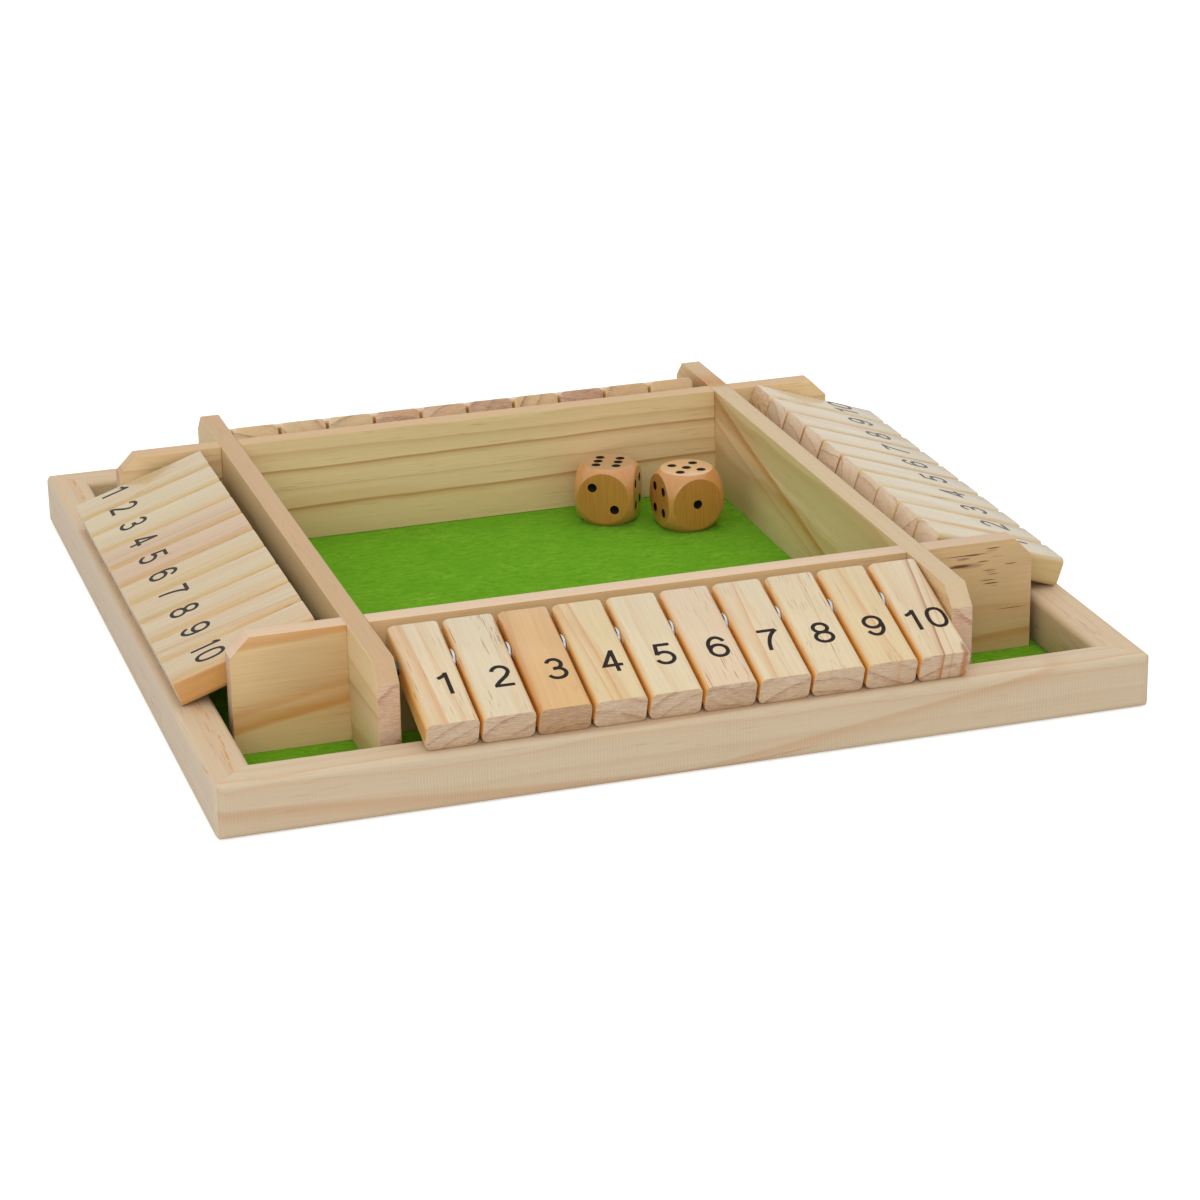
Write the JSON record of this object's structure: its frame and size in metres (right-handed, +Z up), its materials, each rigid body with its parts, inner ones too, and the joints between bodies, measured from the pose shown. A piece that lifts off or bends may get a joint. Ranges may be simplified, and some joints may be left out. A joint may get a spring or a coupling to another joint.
{
  "type": "shut the box game",
  "caption": "Square shut the box game: crossed boards form a felt-floored dice tray in a low frame, with a row of numbered wooden tiles flipping on a rod along each side.",
  "frame": {"origin": "on the surface that the box stands on, in the middle of the box", "axes": "+Z up, +X to the right and +Y to the back, parallel to the rails, with the front row of tiles at -Y"},
  "size_m": [0.302, 0.302, 0.0427],
  "materials": {
    "rail_pine": "planed, bare",
    "board_pine": "planed, bare",
    "plywood": "sanded, bare",
    "tile_pine": "satin lacquer",
    "die_wood": "gloss lacquer",
    "felt": "matt felt",
    "rod_steel": "drawn",
    "washer_steel": "zinc plated"
  },
  "bodies": {
    "tray": {"base_board": "plywood", "felt_sheet": "felt", "rod_washers": "washer_steel", "front_rail": "rail_pine", "right_rail": "rail_pine", "back_rail": "rail_pine", "left_rail": "rail_pine", "front_wall": "board_pine", "right_wall": "board_pine", "back_wall": "board_pine", "left_wall": "board_pine", "front_rod": "rod_steel", "right_rod": "rod_steel", "back_rod": "rod_steel", "left_rod": "rod_steel"},
    "left_die": {"left_die": "die_wood"},
    "right_die": {"right_die": "die_wood"},
    "front_tile_1": {"front_tile_1": "tile_pine"},
    "front_tile_2": {"front_tile_2": "tile_pine"},
    "front_tile_3": {"front_tile_3": "tile_pine"},
    "front_tile_4": {"front_tile_4": "tile_pine"},
    "front_tile_5": {"front_tile_5": "tile_pine"},
    "front_tile_6": {"front_tile_6": "tile_pine"},
    "front_tile_7": {"front_tile_7": "tile_pine"},
    "front_tile_8": {"front_tile_8": "tile_pine"},
    "front_tile_9": {"front_tile_9": "tile_pine"},
    "front_tile_10": {"front_tile_10": "tile_pine"},
    "right_tile_1": {"right_tile_1": "tile_pine"},
    "right_tile_2": {"right_tile_2": "tile_pine"},
    "right_tile_3": {"right_tile_3": "tile_pine"},
    "right_tile_4": {"right_tile_4": "tile_pine"},
    "right_tile_5": {"right_tile_5": "tile_pine"},
    "right_tile_6": {"right_tile_6": "tile_pine"},
    "right_tile_7": {"right_tile_7": "tile_pine"},
    "right_tile_8": {"right_tile_8": "tile_pine"},
    "right_tile_9": {"right_tile_9": "tile_pine"},
    "right_tile_10": {"right_tile_10": "tile_pine"},
    "back_tile_1": {"back_tile_1": "tile_pine"},
    "back_tile_2": {"back_tile_2": "tile_pine"},
    "back_tile_3": {"back_tile_3": "tile_pine"},
    "back_tile_4": {"back_tile_4": "tile_pine"},
    "back_tile_5": {"back_tile_5": "tile_pine"},
    "back_tile_6": {"back_tile_6": "tile_pine"},
    "back_tile_7": {"back_tile_7": "tile_pine"},
    "back_tile_8": {"back_tile_8": "tile_pine"},
    "back_tile_9": {"back_tile_9": "tile_pine"},
    "back_tile_10": {"back_tile_10": "tile_pine"},
    "left_tile_1": {"left_tile_1": "tile_pine"},
    "left_tile_2": {"left_tile_2": "tile_pine"},
    "left_tile_3": {"left_tile_3": "tile_pine"},
    "left_tile_4": {"left_tile_4": "tile_pine"},
    "left_tile_5": {"left_tile_5": "tile_pine"},
    "left_tile_6": {"left_tile_6": "tile_pine"},
    "left_tile_7": {"left_tile_7": "tile_pine"},
    "left_tile_8": {"left_tile_8": "tile_pine"},
    "left_tile_9": {"left_tile_9": "tile_pine"},
    "left_tile_10": {"left_tile_10": "tile_pine"}
  },
  "joints": [
    {"name": "left_die_lift", "type": "slide", "parent": "tray", "child": "left_die", "axis": [0, 0, 1], "range_m": [0, 0.1]},
    {"name": "right_die_lift", "type": "slide", "parent": "tray", "child": "right_die", "axis": [0, 0, 1], "range_m": [0, 0.1]},
    {"name": "front_tile_1_flip", "type": "hinge", "parent": "tray", "child": "front_tile_1", "pos_m": [-0.0777, -0.11734, 0.0334], "axis": [-1, 0, 0], "range_deg": [0, 164]},
    {"name": "front_tile_2_flip", "type": "hinge", "parent": "tray", "child": "front_tile_2", "pos_m": [-0.0601, -0.11734, 0.0334], "axis": [-1, 0, 0], "range_deg": [0, 164]},
    {"name": "front_tile_3_flip", "type": "hinge", "parent": "tray", "child": "front_tile_3", "pos_m": [-0.0425, -0.11734, 0.0334], "axis": [-1, 0, 0], "range_deg": [0, 164]},
    {"name": "front_tile_4_flip", "type": "hinge", "parent": "tray", "child": "front_tile_4", "pos_m": [-0.0249, -0.11734, 0.0334], "axis": [-1, 0, 0], "range_deg": [0, 164]},
    {"name": "front_tile_5_flip", "type": "hinge", "parent": "tray", "child": "front_tile_5", "pos_m": [-0.0073, -0.11734, 0.0334], "axis": [-1, 0, 0], "range_deg": [0, 164]},
    {"name": "front_tile_6_flip", "type": "hinge", "parent": "tray", "child": "front_tile_6", "pos_m": [0.0103, -0.11734, 0.0334], "axis": [-1, 0, 0], "range_deg": [0, 164]},
    {"name": "front_tile_7_flip", "type": "hinge", "parent": "tray", "child": "front_tile_7", "pos_m": [0.0279, -0.11734, 0.0334], "axis": [-1, 0, 0], "range_deg": [0, 164]},
    {"name": "front_tile_8_flip", "type": "hinge", "parent": "tray", "child": "front_tile_8", "pos_m": [0.0455, -0.11734, 0.0334], "axis": [-1, 0, 0], "range_deg": [0, 164]},
    {"name": "front_tile_9_flip", "type": "hinge", "parent": "tray", "child": "front_tile_9", "pos_m": [0.0631, -0.11734, 0.0334], "axis": [-1, 0, 0], "range_deg": [0, 164]},
    {"name": "front_tile_10_flip", "type": "hinge", "parent": "tray", "child": "front_tile_10", "pos_m": [0.0807, -0.11734, 0.0334], "axis": [-1, 0, 0], "range_deg": [0, 164]},
    {"name": "right_tile_1_flip", "type": "hinge", "parent": "tray", "child": "right_tile_1", "pos_m": [0.11734, -0.0777, 0.0334], "axis": [0, -1, 0], "range_deg": [0, 164]},
    {"name": "right_tile_2_flip", "type": "hinge", "parent": "tray", "child": "right_tile_2", "pos_m": [0.11734, -0.0601, 0.0334], "axis": [0, -1, 0], "range_deg": [0, 164]},
    {"name": "right_tile_3_flip", "type": "hinge", "parent": "tray", "child": "right_tile_3", "pos_m": [0.11734, -0.0425, 0.0334], "axis": [0, -1, 0], "range_deg": [0, 164]},
    {"name": "right_tile_4_flip", "type": "hinge", "parent": "tray", "child": "right_tile_4", "pos_m": [0.11734, -0.0249, 0.0334], "axis": [0, -1, 0], "range_deg": [0, 164]},
    {"name": "right_tile_5_flip", "type": "hinge", "parent": "tray", "child": "right_tile_5", "pos_m": [0.11734, -0.0073, 0.0334], "axis": [0, -1, 0], "range_deg": [0, 164]},
    {"name": "right_tile_6_flip", "type": "hinge", "parent": "tray", "child": "right_tile_6", "pos_m": [0.11734, 0.0103, 0.0334], "axis": [0, -1, 0], "range_deg": [0, 164]},
    {"name": "right_tile_7_flip", "type": "hinge", "parent": "tray", "child": "right_tile_7", "pos_m": [0.11734, 0.0279, 0.0334], "axis": [0, -1, 0], "range_deg": [0, 164]},
    {"name": "right_tile_8_flip", "type": "hinge", "parent": "tray", "child": "right_tile_8", "pos_m": [0.11734, 0.0455, 0.0334], "axis": [0, -1, 0], "range_deg": [0, 164]},
    {"name": "right_tile_9_flip", "type": "hinge", "parent": "tray", "child": "right_tile_9", "pos_m": [0.11734, 0.0631, 0.0334], "axis": [0, -1, 0], "range_deg": [0, 164]},
    {"name": "right_tile_10_flip", "type": "hinge", "parent": "tray", "child": "right_tile_10", "pos_m": [0.11734, 0.0807, 0.0334], "axis": [0, -1, 0], "range_deg": [0, 164]},
    {"name": "back_tile_1_flip", "type": "hinge", "parent": "tray", "child": "back_tile_1", "pos_m": [0.0777, 0.11734, 0.0334], "axis": [1, 0, 0], "range_deg": [0, 164]},
    {"name": "back_tile_2_flip", "type": "hinge", "parent": "tray", "child": "back_tile_2", "pos_m": [0.0601, 0.11734, 0.0334], "axis": [1, 0, 0], "range_deg": [0, 164]},
    {"name": "back_tile_3_flip", "type": "hinge", "parent": "tray", "child": "back_tile_3", "pos_m": [0.0425, 0.11734, 0.0334], "axis": [1, 0, 0], "range_deg": [0, 164]},
    {"name": "back_tile_4_flip", "type": "hinge", "parent": "tray", "child": "back_tile_4", "pos_m": [0.0249, 0.11734, 0.0334], "axis": [1, 0, 0], "range_deg": [0, 164]},
    {"name": "back_tile_5_flip", "type": "hinge", "parent": "tray", "child": "back_tile_5", "pos_m": [0.0073, 0.11734, 0.0334], "axis": [1, 0, 0], "range_deg": [0, 164]},
    {"name": "back_tile_6_flip", "type": "hinge", "parent": "tray", "child": "back_tile_6", "pos_m": [-0.0103, 0.11734, 0.0334], "axis": [1, 0, 0], "range_deg": [0, 164]},
    {"name": "back_tile_7_flip", "type": "hinge", "parent": "tray", "child": "back_tile_7", "pos_m": [-0.0279, 0.11734, 0.0334], "axis": [1, 0, 0], "range_deg": [0, 164]},
    {"name": "back_tile_8_flip", "type": "hinge", "parent": "tray", "child": "back_tile_8", "pos_m": [-0.0455, 0.11734, 0.0334], "axis": [1, 0, 0], "range_deg": [0, 164]},
    {"name": "back_tile_9_flip", "type": "hinge", "parent": "tray", "child": "back_tile_9", "pos_m": [-0.0631, 0.11734, 0.0334], "axis": [1, 0, 0], "range_deg": [0, 164]},
    {"name": "back_tile_10_flip", "type": "hinge", "parent": "tray", "child": "back_tile_10", "pos_m": [-0.0807, 0.11734, 0.0334], "axis": [1, 0, 0], "range_deg": [0, 164]},
    {"name": "left_tile_1_flip", "type": "hinge", "parent": "tray", "child": "left_tile_1", "pos_m": [-0.11734, 0.0777, 0.0334], "axis": [0, 1, 0], "range_deg": [0, 164]},
    {"name": "left_tile_2_flip", "type": "hinge", "parent": "tray", "child": "left_tile_2", "pos_m": [-0.11734, 0.0601, 0.0334], "axis": [0, 1, 0], "range_deg": [0, 164]},
    {"name": "left_tile_3_flip", "type": "hinge", "parent": "tray", "child": "left_tile_3", "pos_m": [-0.11734, 0.0425, 0.0334], "axis": [0, 1, 0], "range_deg": [0, 164]},
    {"name": "left_tile_4_flip", "type": "hinge", "parent": "tray", "child": "left_tile_4", "pos_m": [-0.11734, 0.0249, 0.0334], "axis": [0, 1, 0], "range_deg": [0, 164]},
    {"name": "left_tile_5_flip", "type": "hinge", "parent": "tray", "child": "left_tile_5", "pos_m": [-0.11734, 0.0073, 0.0334], "axis": [0, 1, 0], "range_deg": [0, 164]},
    {"name": "left_tile_6_flip", "type": "hinge", "parent": "tray", "child": "left_tile_6", "pos_m": [-0.11734, -0.0103, 0.0334], "axis": [0, 1, 0], "range_deg": [0, 164]},
    {"name": "left_tile_7_flip", "type": "hinge", "parent": "tray", "child": "left_tile_7", "pos_m": [-0.11734, -0.0279, 0.0334], "axis": [0, 1, 0], "range_deg": [0, 164]},
    {"name": "left_tile_8_flip", "type": "hinge", "parent": "tray", "child": "left_tile_8", "pos_m": [-0.11734, -0.0455, 0.0334], "axis": [0, 1, 0], "range_deg": [0, 164]},
    {"name": "left_tile_9_flip", "type": "hinge", "parent": "tray", "child": "left_tile_9", "pos_m": [-0.11734, -0.0631, 0.0334], "axis": [0, 1, 0], "range_deg": [0, 164]},
    {"name": "left_tile_10_flip", "type": "hinge", "parent": "tray", "child": "left_tile_10", "pos_m": [-0.11734, -0.0807, 0.0334], "axis": [0, 1, 0], "range_deg": [0, 164]}
  ]
}
